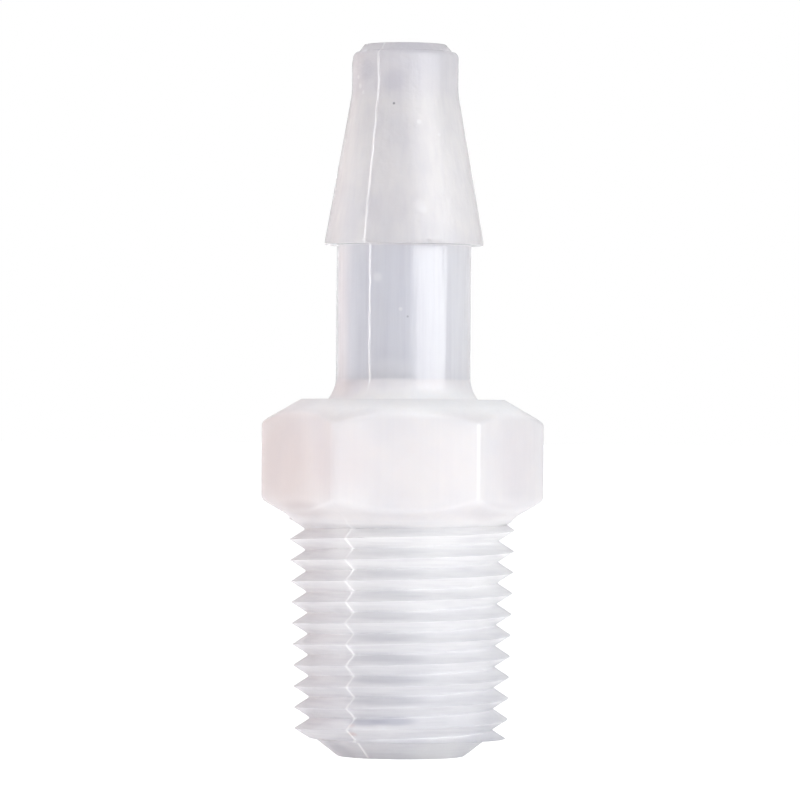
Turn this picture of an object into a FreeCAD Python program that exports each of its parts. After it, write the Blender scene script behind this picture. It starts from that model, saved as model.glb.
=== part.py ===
import FreeCAD
import Part

import math
import os

# A straight tube connector, moulded in one piece of natural polypropylene.
# From the bottom up it is a lead-in nose, a tapered male pipe thread, a wrench hex,
# a smooth neck and a hose barb, with a stepped bore right through.
# Sizes are millimetres and degrees. The axis is Z, z = 0 is the end face of the nose,
# and angles about the axis are counted from +X towards +Y.

NODE_NAME = "connector_body"

# Lead-in nose
NOSE_END_DIAMETER = 5.7
NOSE_TOP_DIAMETER = 7.75
NOSE_HEIGHT = 0.8

# Tapered pipe thread: right-hand, 27 turns per inch, 60 degree form, growing 1 in 16.
# The crest diameter is the one that the taper would have at z = 0, and the start angle
# is where the middle of the groove would cross z = 0.
THREAD_LENGTH = 10.0
THREAD_PITCH = 25.4 / 27
THREAD_CREST_DIAMETER = 9.5
THREAD_TAPER = 1 / 16
THREAD_FLANK_ANGLE = 30.0
THREAD_CREST_FLAT = 0.18
THREAD_START_ANGLE = -108.0

# Wrench hex, chamfered like a nut above and below, with lightly rounded corners
HEX_ACROSS_FLATS = 11.11
HEX_HEIGHT = 5.2
HEX_CORNER_RADIUS = 0.5
HEX_CHAMFER_ANGLE = 30.0
HEX_TOP_LAND_DIAMETER = 9.15
HEX_BOTTOM_LAND_DIAMETER = 10.36

# Shoulder under the hex: a short cone, then an undercut wall that the thread runs into
SHOULDER_HEIGHT = 0.31
SHOULDER_ANGLE = 45.0
UNDERCUT_ANGLE = 26.0

# Smooth neck, flared where it leaves the hex
NECK_DIAMETER = 6.05
NECK_LENGTH = 6.92
NECK_FLARE_WIDTH = 0.34
NECK_FLARE_HEIGHT = 0.95

# Hose barb: a sharp shoulder, a long cone and a short cylindrical tip with an equal-sided
# chamfer and a steeper lead-in cone above it
BARB_DIAMETER = 7.12
BARB_LAND = 0.18
BARB_CONE_LENGTH = 6.62
TIP_DIAMETER = 4.78
TIP_LENGTH = 1.6
TIP_CHAMFER = 0.28
TIP_LEAD_WIDTH = 0.28
TIP_LEAD_LENGTH = 0.33

# Bore: wide in the thread, narrow in the barb, with a cone between them inside the hex
THREAD_BORE_DIAMETER = 3.9
THREAD_BORE_DEPTH = 12.0
BARB_BORE_DIAMETER = 3.0
BORE_STEP_ANGLE = 59.0

# How far the bore's cutter runs past both ends
CUTTER_OVERRUN = 1.0

# Heights that follow from the sizes above
HEX_BOTTOM = NOSE_HEIGHT + THREAD_LENGTH
HEX_TOP = HEX_BOTTOM + HEX_HEIGHT
BARB_SHOULDER = HEX_TOP + NECK_LENGTH
BARB_CONE_BOTTOM = BARB_SHOULDER + BARB_LAND
TIP_BOTTOM = BARB_CONE_BOTTOM + BARB_CONE_LENGTH
TIP_TOP = TIP_BOTTOM + TIP_LENGTH
TIP_LEAD_BOTTOM = TIP_TOP + TIP_CHAMFER
TOTAL_LENGTH = TIP_LEAD_BOTTOM + TIP_LEAD_LENGTH

# The threaded rod goes on up inside the hex by one pitch, so that the shoulder closes the groove
ROD_TOP = HEX_BOTTOM + THREAD_PITCH


def tangent(angle):
    """Return the tangent of an angle in degrees."""
    return math.tan(math.radians(angle))


def outline_point(radius, height):
    """Return a point of an outline that is to be turned about the axis."""
    return FreeCAD.Vector(radius, 0, height)


def polar_point(radius, angle, height):
    """Return a point at an angle about the axis."""
    turned = math.radians(angle)
    return FreeCAD.Vector(radius * math.cos(turned), radius * math.sin(turned), height)


def straight(*points):
    """Return the straight edges that join points one after another."""
    return [Part.makeLine(start, end) for start, end in zip(points, points[1:])]


def turned(edges):
    """Turn a closed outline about the axis into a solid."""
    outline = Part.Face(Part.Wire(edges))
    return outline.revolve(FreeCAD.Vector(0, 0, 0), FreeCAD.Vector(0, 0, 1), 360)


def crest_radius(height):
    """Return the radius of the thread's crest at a height."""
    return (THREAD_CREST_DIAMETER + THREAD_TAPER * height) / 2


def neck_flare(neck_radius):
    """Return the hollow curve from the hex's top face up to the straight of the neck."""
    curve = Part.BezierCurve()
    curve.setPoles([
        outline_point(neck_radius + NECK_FLARE_WIDTH, HEX_TOP),
        outline_point(neck_radius, HEX_TOP + NECK_FLARE_HEIGHT / 2),
        outline_point(neck_radius, HEX_TOP + NECK_FLARE_HEIGHT),
    ])
    return [curve.toShape()]


def turned_blank():
    """Return the nose, the unthreaded rod, the neck and the barb as one turned solid."""
    neck_radius = NECK_DIAMETER / 2
    barb_radius = BARB_DIAMETER / 2
    tip_radius = TIP_DIAMETER / 2
    lead_radius = tip_radius - TIP_CHAMFER
    base = outline_point(0, 0)
    nose_and_rod = straight(
        base,
        outline_point(NOSE_END_DIAMETER / 2, 0),
        outline_point(NOSE_TOP_DIAMETER / 2, NOSE_HEIGHT),
        outline_point(crest_radius(NOSE_HEIGHT), NOSE_HEIGHT),
        outline_point(crest_radius(ROD_TOP), ROD_TOP),
        outline_point(neck_radius + NECK_FLARE_WIDTH, ROD_TOP),
        outline_point(neck_radius + NECK_FLARE_WIDTH, HEX_TOP),
    )
    neck_and_barb = straight(
        outline_point(neck_radius, HEX_TOP + NECK_FLARE_HEIGHT),
        outline_point(neck_radius, BARB_SHOULDER),
        outline_point(barb_radius, BARB_SHOULDER),
        outline_point(barb_radius, BARB_CONE_BOTTOM),
        outline_point(tip_radius, TIP_BOTTOM),
        outline_point(tip_radius, TIP_TOP),
        outline_point(lead_radius, TIP_LEAD_BOTTOM),
        outline_point(lead_radius - TIP_LEAD_WIDTH, TOTAL_LENGTH),
        outline_point(0, TOTAL_LENGTH),
        base,
    )
    return turned(nose_and_rod + neck_flare(neck_radius) + neck_and_barb)


def groove_edge(radius_offset, height_offset, first_turn, turns):
    """Return one edge of the groove: a conical helix of whole turns, offset from the crest."""
    start = first_turn * THREAD_PITCH
    taper_angle = math.degrees(math.atan(THREAD_TAPER / 2))
    radius = crest_radius(start) + radius_offset
    helix = Part.makeLongHelix(THREAD_PITCH, turns * THREAD_PITCH, radius, taper_angle)
    helix.translate(FreeCAD.Vector(0, 0, start + height_offset))
    helix.rotate(FreeCAD.Vector(0, 0, 0), FreeCAD.Vector(0, 0, 1), THREAD_START_ANGLE)
    return helix


def thread_groove():
    """Return the solid that the thread's one long V groove removes from the rod."""
    slope = tangent(THREAD_FLANK_ANGLE)
    depth = (THREAD_PITCH - THREAD_CREST_FLAT) / (2 * slope)
    # The cutter stands proud of the crest by half of what would make its turns meet
    proud = THREAD_CREST_FLAT / (4 * slope)
    mouth_half = slope * (depth + proud)
    section = [(-depth, 0), (proud, mouth_half), (proud, -mouth_half)]
    first_turn = math.floor(NOSE_HEIGHT / THREAD_PITCH) - 1
    turns = math.ceil(ROD_TOP / THREAD_PITCH) + 1 - first_turn
    edges = [groove_edge(radius, height, first_turn, turns) for radius, height in section]
    faces = []
    for index, edge in enumerate(edges):
        faces += Part.makeRuledSurface(edges[index - 1], edge).Faces
    for end in (0, -1):
        corners = [edge.Vertexes[end].Point for edge in edges]
        faces.append(Part.Face(Part.makePolygon(corners + corners[:1])))
    shell = Part.makeShell(faces)
    shell.sewShape()
    return Part.makeSolid(shell)


def hex_prism(bottom, top):
    """Return the plain hex bar between two heights, with two of its corners on the X axis."""
    corner_radius = HEX_ACROSS_FLATS / math.sqrt(3)
    corners = [polar_point(corner_radius, 60 * index, bottom) for index in range(7)]
    bar = Part.Face(Part.makePolygon(corners)).extrude(FreeCAD.Vector(0, 0, top - bottom))
    upright = [edge for edge in bar.Edges if edge.BoundBox.ZLength > (top - bottom) / 2]
    return bar.makeFillet(HEX_CORNER_RADIUS, upright)


def chamfer_rise(land_radius, full_radius):
    """Return how far a chamfer climbs between two radii."""
    return (full_radius - land_radius) * tangent(HEX_CHAMFER_ANGLE)


def wrench_hex():
    """Return the chamfered hex with the shoulder under it, down to a point inside the rod."""
    full_radius = HEX_ACROSS_FLATS
    top_land = HEX_TOP_LAND_DIAMETER / 2
    bottom_land = HEX_BOTTOM_LAND_DIAMETER / 2
    foot_radius = bottom_land - SHOULDER_HEIGHT / tangent(SHOULDER_ANGLE)
    foot = HEX_BOTTOM - SHOULDER_HEIGHT
    point = foot - foot_radius * tangent(UNDERCUT_ANGLE)
    envelope = turned(straight(
        outline_point(0, point),
        outline_point(foot_radius, foot),
        outline_point(bottom_land, HEX_BOTTOM),
        outline_point(full_radius, HEX_BOTTOM + chamfer_rise(bottom_land, full_radius)),
        outline_point(full_radius, HEX_TOP - chamfer_rise(top_land, full_radius)),
        outline_point(top_land, HEX_TOP),
        outline_point(0, HEX_TOP),
        outline_point(0, point),
    ))
    return envelope.common(hex_prism(point, HEX_TOP))


def stepped_bore():
    """Return the through bore as a solid to take away."""
    wide = THREAD_BORE_DIAMETER / 2
    narrow = BARB_BORE_DIAMETER / 2
    step_top = THREAD_BORE_DEPTH + (wide - narrow) / tangent(BORE_STEP_ANGLE)
    return turned(straight(
        outline_point(0, -CUTTER_OVERRUN),
        outline_point(wide, -CUTTER_OVERRUN),
        outline_point(wide, THREAD_BORE_DEPTH),
        outline_point(narrow, step_top),
        outline_point(narrow, TOTAL_LENGTH + CUTTER_OVERRUN),
        outline_point(0, TOTAL_LENGTH + CUTTER_OVERRUN),
        outline_point(0, -CUTTER_OVERRUN),
    ))


def connector():
    """Return the finished connector as one solid."""
    threaded = turned_blank().cut(thread_groove())
    return threaded.fuse(wrench_hex()).cut(stepped_bore())


os.makedirs("parts", exist_ok=True)
connector().exportStep(f"parts/{NODE_NAME}.step")
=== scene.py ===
"""The looks of a straight tube connector, moulded in one piece of natural polypropylene.

It stands on its thread end, with a wrench hex, a smooth neck and a hose barb above the thread.
Sizes in the classes' fields are millimetres and degrees, and meshes are in metres. The axis is Z,
the thread's end face is at z = 0, and bearings about the axis are counted from +X towards +Y.
"""
import logging
import math
from dataclasses import dataclass, field, replace
from enum import Enum
from typing import Any

import bmesh
import bpy
import numpy as np
from mathutils import Matrix, Vector, noise


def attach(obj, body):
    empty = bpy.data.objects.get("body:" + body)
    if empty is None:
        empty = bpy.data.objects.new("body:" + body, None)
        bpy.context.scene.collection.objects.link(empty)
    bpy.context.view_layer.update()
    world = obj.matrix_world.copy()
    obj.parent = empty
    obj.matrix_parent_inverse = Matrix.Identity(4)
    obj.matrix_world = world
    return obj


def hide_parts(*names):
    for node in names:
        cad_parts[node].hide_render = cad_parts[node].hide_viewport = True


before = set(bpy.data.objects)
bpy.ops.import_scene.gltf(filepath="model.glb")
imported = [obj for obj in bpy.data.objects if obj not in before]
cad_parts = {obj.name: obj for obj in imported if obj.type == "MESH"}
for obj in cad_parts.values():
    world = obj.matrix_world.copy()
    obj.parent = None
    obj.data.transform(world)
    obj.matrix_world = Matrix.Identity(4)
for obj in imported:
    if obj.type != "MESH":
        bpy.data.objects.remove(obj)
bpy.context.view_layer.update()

NODE_NAME = "connector_body"
BODY_NAME = "root"
MM = 0.001
LOG = logging.getLogger("connector")

Outline = list[tuple[float, float]]
Tree = bpy.types.NodeTree
# What feeds a node's input: a socket, or a node that stands for its first output
Source = bpy.types.Node | bpy.types.NodeSocket


class Socket(Enum):
    """Kinds of input and output that a Geometry Nodes tree has."""

    NUMBER = "NodeSocketFloat"
    COUNT = "NodeSocketInt"
    GEOMETRY = "NodeSocketGeometry"
    MATERIAL = "NodeSocketMaterial"


def linear_colour(hex_code: str) -> tuple[float, float, float, float]:
    """Turn an sRGB hex colour into a linear one.

    Args:
        hex_code: The colour as "#rrggbb".

    Returns:
        Red, green, blue and an alpha of one, all linear.
    """
    channels = [int(hex_code[start:start + 2], 16) / 255 for start in (1, 3, 5)]
    linear = [c / 12.92 if c <= 0.04045 else ((c + 0.055) / 1.055) ** 2.4 for c in channels]
    return (*linear, 1.0)


def add_node(tree: Tree, kind: str, inputs: dict[Any, Any] | None = None,
             **settings: Any) -> bpy.types.Node:
    """Add a node to a tree with its settings, values and links.

    Args:
        tree: The tree that gets the node.
        kind: The node's type.
        inputs: A value or a source for each input, by the input's name or number.
        settings: The node's own properties.

    Returns:
        The new node.
    """
    node = tree.nodes.new(kind)
    for name, value in settings.items():
        setattr(node, name, value)
    for key, value in (inputs or {}).items():
        source = value.outputs[0] if isinstance(value, bpy.types.Node) else value
        if isinstance(source, Source):
            tree.links.new(source, node.inputs[key])
        else:
            node.inputs[key].default_value = source
    return node


def smooth_least(first: np.ndarray, second: np.ndarray, reach: float) -> np.ndarray:
    """Return the smaller of two values, rounded over where they are about equal.

    Args:
        first: One set of values.
        second: The other set.
        reach: How near to each other the values are when the rounding starts.

    Returns:
        The smaller values, with the rounding taken off them.
    """
    closeness = np.maximum(reach - np.abs(first - second), 0) / reach
    return np.minimum(first, second) - closeness ** 3 * reach / 6


def rounded_outline(corners: list[tuple[float, float, float]], steps: int = 6) -> Outline:
    """Round the corners of an outline with arcs.

    Args:
        corners: Radius and height of each corner, and the radius of its rounding.
        steps: Straight pieces in each arc.

    Returns:
        The outline's points, with an arc in place of each rounded corner.
    """
    points: Outline = []
    for index, (radius, height, rounding) in enumerate(corners):
        corner = Vector((radius, height))
        if rounding == 0 or index in (0, len(corners) - 1):
            points.append((radius, height))
            continue
        back = (Vector(corners[index - 1][:2]) - corner).normalized()
        ahead = (Vector(corners[index + 1][:2]) - corner).normalized()
        half_angle = back.angle(ahead) / 2
        centre = corner + (back + ahead).normalized() * rounding / math.sin(half_angle)
        touch = rounding / math.tan(half_angle)
        first = corner + back * touch - centre
        last = corner + ahead * touch - centre
        turn = first.angle(last)
        for step in range(steps + 1):
            share = step / steps
            spoke = (first * math.sin((1 - share) * turn) + last * math.sin(share * turn)) / math.sin(turn)
            points.append(tuple(centre + spoke))
    return points


def divided_outline(points: Outline, longest: float) -> Outline:
    """Divide the long runs of an outline.

    Args:
        points: The outline's points.
        longest: The longest run that may stay whole.

    Returns:
        The points, with others added on the long runs.
    """
    divided = points[:1]
    for start, end in zip(points, points[1:]):
        parts = max(1, math.ceil(math.dist(start, end) / longest))
        for part in range(1, parts + 1):
            share = part / parts
            radius = start[0] + (end[0] - start[0]) * share
            height = start[1] + (end[1] - start[1]) * share
            divided.append((radius, height))
    return divided


@dataclass(frozen=True)
class Mould:
    """The mould's parting plane with the fin that it leaves, and the columns of the skin's mesh."""

    parting_bearing: float = 238.2
    fin_height: float = 0.028
    fin_half_width: float = 0.06
    fin_reach: float = 1.6
    wander: float = 0.09
    wander_length: float = 1.1
    mark_core: float = 0.25
    mark_widening: float = 1.6
    mark_narrowing: float = 0.1
    faint_mark: float = 0.85
    faint_wander: float = 0.25
    white_wander: float = 0.55
    thread_top: float = 10.7
    corner_count: int = 6
    corner_reach: float = 2.4
    fine_step: float = 0.4
    coarse_step: float = 1.45

    def bearings(self) -> np.ndarray:
        """Work out the columns' bearings, which stand closer at the hex's corners and at the fins.

        Returns:
            The bearings over one whole turn in degrees, with both 0 and 360.
        """
        knots = {0.0, 360.0}
        for corner in range(self.corner_count + 1):
            bearing = 360 / self.corner_count * corner
            knots |= {bearing - self.corner_reach, bearing, bearing + self.corner_reach}
        for side in (0, 180):
            bearing = (self.parting_bearing + side) % 360
            knots |= {bearing - self.fin_reach, bearing, bearing + self.fin_reach}
        kept = sorted(knot for knot in knots if 0 <= knot <= 360)
        stations = [kept[0]]
        for start, end in zip(kept, kept[1:]):
            step = self.fine_step if end - start <= self.corner_reach else self.coarse_step
            stations += list(np.linspace(start, end, math.ceil((end - start) / step) + 1)[1:])
        return np.array(stations)

    def fin(self, radius: float | np.ndarray) -> np.ndarray:
        """Work out how far the fin stands out at each column.

        Args:
            radius: The skin's radius, one for all columns or one for each.

        Returns:
            The fin's height at each column but the last, which is the first one again.
        """
        turned = np.radians(self.bearings()[:-1] - self.parting_bearing)
        beside = np.abs(radius * np.sin(turned)) / self.fin_half_width
        return self.fin_height * np.maximum(1 - beside ** 2, 0)

    def ring(self, radius: float | np.ndarray, height: float | np.ndarray, fin: float = 0.0) -> np.ndarray:
        """Make one ring of the skin's points.

        Args:
            radius: The ring's radius, one for all columns or one for each.
            height: The ring's height, in the same way.
            fin: The share of the parting fin that stands on it.

        Returns:
            The ring's points in metres, one for each column.
        """
        turned = np.radians(self.bearings()[:-1])
        outer = radius + fin * self.fin(radius)
        level = np.broadcast_to(height, turned.shape)
        return np.stack([outer * np.cos(turned), outer * np.sin(turned), level], axis=1) * MM


@dataclass(frozen=True)
class ThreadSkin:
    """The thread's grown skin, with the rims where the rest of the skin joins it."""

    mesh: bpy.types.Mesh
    lower_rim: np.ndarray
    upper_rim: np.ndarray


@dataclass(frozen=True)
class Underside:
    """The wall under the hex that closes the thread: an undercut cone, then a shoulder cone."""

    foot_radius: float = 4.87
    foot_height: float = 10.49
    undercut_angle: float = 26.0
    shoulder_angle: float = 45.0

    def height(self, radius: np.ndarray) -> np.ndarray:
        """Work out the wall's height.

        Args:
            radius: The radius at each column.

        Returns:
            The height at each column.
        """
        slopes = [math.tan(math.radians(angle)) for angle in (self.undercut_angle, self.shoulder_angle)]
        beyond = radius - self.foot_radius
        return self.foot_height + np.maximum(beyond * slopes[0], beyond * slopes[1])


@dataclass(frozen=True)
class TaperThread:
    """The right-hand taper thread, one skin that winds up the shank under a fixed rule."""

    pitch: float = 25.4 / 27
    crest_diameter: float = 9.5
    taper: float = 1 / 16
    crest_flat: float = 0.02
    flank_angle: float = 33.0
    depth: float = 0.69
    crest_rounding: float = 0.03
    root_rounding: float = 0.05
    start_bearing: float = -108.0
    end_height: float = 0.8
    top_height: float = 10.8
    rows_per_turn: int = 14
    row_crowding: float = 0.6

    def turn_inputs(self) -> dict[str, float]:
        """Return the named sizes that the radius rule takes, in metres and radians."""
        return {
            "Pitch": self.pitch * MM,
            "Start Bearing": math.radians(self.start_bearing),
            "Crest Radius": self.crest_diameter / 2 * MM,
            "Radius Growth": self.taper / 2,
            "Half Crest Flat": self.crest_flat / 2 * MM,
            "Flank Slope": math.tan(math.radians(self.flank_angle)),
            "Depth": self.depth * MM,
            "Crest Rounding": self.crest_rounding * MM,
            "Root Rounding": self.root_rounding * MM,
        }

    def radius_rule(self) -> Tree:
        """Build the node group that gives the thread's radius at a bearing and a height.

        Returns:
            The group, with the sizes of turn_inputs as its named inputs.
        """
        names = ["Bearing", "Height", *self.turn_inputs()]
        rule = open_tree("thread_radius", {name: Socket.NUMBER for name in names}, {"Radius": Socket.NUMBER})
        known: dict[Any, Source] = dict(rule.given)
        steps: list[tuple[Any, ...]] = [
            # How far the place is above the groove's middle, and from there off the nearest crest's middle
            ("turned", "SUBTRACT", "Bearing", "Start Bearing"),
            ("turns", "DIVIDE", "turned", math.tau),
            ("climbed", "MULTIPLY", "turns", "Pitch"),
            ("half pitch", "MULTIPLY", "Pitch", 0.5),
            ("minus half pitch", "MULTIPLY", "Pitch", -0.5),
            ("above root", "SUBTRACT", "Height", "climbed"),
            ("above crest", "SUBTRACT", "above root", "half pitch"),
            ("wrapped", "WRAP", "above crest", "half pitch", "minus half pitch"),
            ("away", "ABSOLUTE", "wrapped"),
            # How deep the groove is cut there, and what that leaves of the tapered rod
            ("past flat", "SUBTRACT", "away", "Half Crest Flat"),
            ("flank", "DIVIDE", "past flat", "Flank Slope"),
            ("crested", "SMOOTH_MAX", "flank", 0.0, "Crest Rounding"),
            ("cut", "SMOOTH_MIN", "crested", "Depth", "Root Rounding"),
            ("rod", "MULTIPLY_ADD", "Height", "Radius Growth", "Crest Radius"),
            ("radius", "SUBTRACT", "rod", "cut"),
        ]
        for name, operation, *terms in steps:
            inputs = {number: known.get(term, term) for number, term in enumerate(terms)}
            known[name] = add_node(rule.tree, "ShaderNodeMath", inputs, operation=operation)
        rule.tree.links.new(known["radius"].outputs[0], rule.wanted["Radius"])
        return rule.tree

    def skin_tree(self) -> Tree:
        """Build the node tree that grows the thread's skin over a scale of bearings.

        The scale is a row of points, each with its bearing as X and the fin's height there as Y.
        The skin's rows climb with the helix, and are held between the thread's end face and the
        wall under the hex, which a search by halves finds for each column.

        Returns:
            The tree, with every size as a named input.
        """
        numbers = [*self.turn_inputs(), "End Height", "Top Height", "Foot Radius", "Foot Height",
                   "Undercut Slope", "Shoulder Slope", "Row Crowding"]
        inputs = {"Scale": Socket.GEOMETRY, "Rows Per Turn": Socket.COUNT, "Turns": Socket.COUNT,
                  "First Turn": Socket.COUNT, "Material": Socket.MATERIAL}
        inputs |= {name: Socket.NUMBER for name in numbers}
        skin = open_tree("taper_thread_skin", inputs, {"Skin": Socket.GEOMETRY})
        tree = skin.tree
        given = skin.given
        rule = self.radius_rule()
        sizes = {name: given[name] for name in self.turn_inputs()}

        count = add_node(tree, "GeometryNodeAttributeDomainSize", {0: given["Scale"]},
                         component="MESH").outputs["Point Count"]
        rows = add_node(tree, "ShaderNodeMath", {0: given["Rows Per Turn"], 1: given["Turns"], 2: 1.0},
                        operation="MULTIPLY_ADD")
        sheet = add_node(tree, "GeometryNodeMeshGrid", {"Vertices X": count, "Vertices Y": rows})
        index = add_node(tree, "GeometryNodeInputIndex")
        ratio = add_node(tree, "ShaderNodeMath", {0: index, 1: rows}, operation="DIVIDE")
        column = add_node(tree, "ShaderNodeMath", {0: ratio}, operation="FLOOR")
        row = add_node(tree, "ShaderNodeMath", {0: index, 1: rows}, operation="MODULO")
        place = add_node(tree, "GeometryNodeInputPosition")
        sampled = add_node(tree, "GeometryNodeSampleIndex", {"Geometry": given["Scale"], "Value": place,
                           "Index": column}, data_type="FLOAT_VECTOR")
        scale = add_node(tree, "ShaderNodeSeparateXYZ", {0: sampled})
        bearing = scale.outputs["X"]

        turned = add_node(tree, "ShaderNodeMath", {0: bearing, 1: given["Start Bearing"]},
                          operation="SUBTRACT")
        turns = add_node(tree, "ShaderNodeMath", {0: turned, 1: math.tau}, operation="DIVIDE")
        even = add_node(tree, "ShaderNodeMath", {0: row, 1: given["Rows Per Turn"]}, operation="DIVIDE")
        # The rows stand closer where the groove is deepest and at the crest, so twice in each turn
        twice = add_node(tree, "ShaderNodeMath", {0: even, 1: 2 * math.tau}, operation="MULTIPLY")
        wave = add_node(tree, "ShaderNodeMath", {0: twice}, operation="SINE")
        crowd = add_node(tree, "ShaderNodeMath", {0: given["Row Crowding"], 1: -2 * math.tau},
                         operation="DIVIDE")
        uneven = add_node(tree, "ShaderNodeMath", {0: wave, 1: crowd, 2: even}, operation="MULTIPLY_ADD")
        wound = add_node(tree, "ShaderNodeMath", {0: uneven, 1: turns}, operation="ADD")
        counted = add_node(tree, "ShaderNodeMath", {0: wound, 1: given["First Turn"]}, operation="ADD")
        nominal = add_node(tree, "ShaderNodeMath", {0: counted, 1: given["Pitch"]}, operation="MULTIPLY")

        run_out = self.run_out_search(tree, rule, given, sizes, bearing)
        raised = add_node(tree, "ShaderNodeMath", {0: nominal, 1: given["End Height"]}, operation="MAXIMUM")
        height = add_node(tree, "ShaderNodeMath", {0: raised, 1: run_out}, operation="MINIMUM")
        radius = add_node(tree, "GeometryNodeGroup", {**sizes, "Bearing": bearing, "Height": height},
                          node_tree=rule)
        outer = add_node(tree, "ShaderNodeMath", {0: radius, 1: scale.outputs["Y"]}, operation="ADD")
        cosine = add_node(tree, "ShaderNodeMath", {0: bearing}, operation="COSINE")
        sine = add_node(tree, "ShaderNodeMath", {0: bearing}, operation="SINE")
        across = add_node(tree, "ShaderNodeMath", {0: outer, 1: cosine}, operation="MULTIPLY")
        along = add_node(tree, "ShaderNodeMath", {0: outer, 1: sine}, operation="MULTIPLY")
        point = add_node(tree, "ShaderNodeCombineXYZ", {"X": across, "Y": along, "Z": height})
        moved = add_node(tree, "GeometryNodeSetPosition", {"Geometry": sheet, "Position": point})
        whole = add_node(tree, "GeometryNodeRealizeInstances", {0: moved})
        dressed = add_node(tree, "GeometryNodeSetMaterial",
                           {"Geometry": whole, "Material": given["Material"]})
        tree.links.new(dressed.outputs[0], skin.wanted["Skin"])
        return tree

    def run_out_search(self, tree: Tree, rule: Tree, given: dict[str, Source],
                       sizes: dict[str, Source], bearing: Source, halvings: int = 14) -> Source:
        """Add the nodes that find where the thread meets the wall under the hex.

        Args:
            tree: The tree that gets the nodes.
            rule: The group that gives the thread's radius.
            given: The tree's own inputs.
            sizes: Those of them that the rule takes.
            bearing: The column's bearing.
            halvings: How often the search halves its span.

        Returns:
            The height of the meeting at each column.
        """
        start = add_node(tree, "GeometryNodeRepeatInput")
        end = add_node(tree, "GeometryNodeRepeatOutput")
        start.pair_with_output(end)
        end.repeat_items.clear()
        end.repeat_items.new("FLOAT", "Low")
        end.repeat_items.new("FLOAT", "High")
        start.inputs["Iterations"].default_value = halvings
        lowest = add_node(tree, "ShaderNodeMath", {0: given["Foot Height"], 1: given["Pitch"]},
                          operation="SUBTRACT")
        tree.links.new(lowest.outputs[0], start.inputs["Low"])
        tree.links.new(given["Top Height"], start.inputs["High"])
        both = add_node(tree, "ShaderNodeMath", {0: start.outputs["Low"], 1: start.outputs["High"]},
                        operation="ADD")
        middle = add_node(tree, "ShaderNodeMath", {0: both, 1: 0.5}, operation="MULTIPLY")
        radius = add_node(tree, "GeometryNodeGroup", {**sizes, "Bearing": bearing, "Height": middle},
                          node_tree=rule)
        beyond = add_node(tree, "ShaderNodeMath", {0: radius, 1: given["Foot Radius"]}, operation="SUBTRACT")
        undercut = add_node(tree, "ShaderNodeMath", {0: beyond, 1: given["Undercut Slope"]},
                            operation="MULTIPLY")
        shoulder = add_node(tree, "ShaderNodeMath", {0: beyond, 1: given["Shoulder Slope"]},
                            operation="MULTIPLY")
        climb = add_node(tree, "ShaderNodeMath", {0: undercut, 1: shoulder}, operation="MAXIMUM")
        wall = add_node(tree, "ShaderNodeMath", {0: climb, 1: given["Foot Height"]}, operation="ADD")
        clear = add_node(tree, "FunctionNodeCompare", {0: middle, 1: wall}, operation="LESS_THAN")
        low = add_node(tree, "GeometryNodeSwitch", {0: clear, 1: start.outputs["Low"], 2: middle},
                       input_type="FLOAT")
        high = add_node(tree, "GeometryNodeSwitch", {0: clear, 1: middle, 2: start.outputs["High"]},
                        input_type="FLOAT")
        tree.links.new(low.outputs[0], end.inputs["Low"])
        tree.links.new(high.outputs[0], end.inputs["High"])
        return end.outputs["Low"]

    def grow(self, mould: Mould, underside: Underside, material: bpy.types.Material) -> ThreadSkin:
        """Grow the thread's skin and turn it into a plain mesh.

        Args:
            mould: The columns and the fin that the skin follows.
            underside: The wall that closes the thread under the hex.
            material: The finish of the skin.

        Returns:
            The plain mesh and its two rims.
        """
        bearings = np.radians(mould.bearings())
        fins = mould.fin(self.crest_diameter / 2 - self.depth / 2)
        fins = np.append(fins, fins[0]) * MM
        scale = bpy.data.meshes.new("thread_scale")
        scale.from_pydata([(b, f, 0.0) for b, f in zip(bearings, fins)], [], [])
        grower = bpy.data.objects.new("thread_grower", scale)
        bpy.context.scene.collection.objects.link(grower)
        first_turn = math.floor(self.end_height / self.pitch - 1 + self.start_bearing / 360)
        turns = math.ceil(self.top_height / self.pitch + self.start_bearing / 360) + 1 - first_turn
        values = {**self.turn_inputs(), "Rows Per Turn": self.rows_per_turn, "Turns": turns,
                  "First Turn": first_turn, "End Height": self.end_height * MM,
                  "Top Height": self.top_height * MM, "Row Crowding": self.row_crowding,
                  "Foot Radius": underside.foot_radius * MM, "Foot Height": underside.foot_height * MM,
                  "Undercut Slope": math.tan(math.radians(underside.undercut_angle)),
                  "Shoulder Slope": math.tan(math.radians(underside.shoulder_angle)),
                  "Material": material}
        mesh = grown_mesh(grower, self.skin_tree(), values)
        points = np.array([vertex.co for vertex in mesh.vertices])
        points = points.reshape(len(bearings), self.rows_per_turn * turns + 1, 3)
        return ThreadSkin(mesh, points[:-1, 0], points[:-1, -1])


@dataclass(frozen=True)
class OpenTree:
    """A new Geometry Nodes tree with its input and output sockets by name."""

    tree: Tree
    given: dict[str, Source]
    wanted: dict[str, Source]


def open_tree(name: str, inputs: dict[str, Socket], outputs: dict[str, Socket]) -> OpenTree:
    """Start a Geometry Nodes tree with named inputs and outputs.

    Args:
        name: The tree's name.
        inputs: The kind of each input.
        outputs: The kind of each output.

    Returns:
        The tree with its sockets.
    """
    tree = bpy.data.node_groups.new(name, "GeometryNodeTree")
    for label, kind in inputs.items():
        tree.interface.new_socket(label, in_out="INPUT", socket_type=kind.value)
    for label, kind in outputs.items():
        tree.interface.new_socket(label, in_out="OUTPUT", socket_type=kind.value)
    entry = add_node(tree, "NodeGroupInput")
    leaving = add_node(tree, "NodeGroupOutput")
    given = {label: entry.outputs[label] for label in inputs}
    wanted = {label: leaving.inputs[label] for label in outputs}
    return OpenTree(tree, given, wanted)


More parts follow.
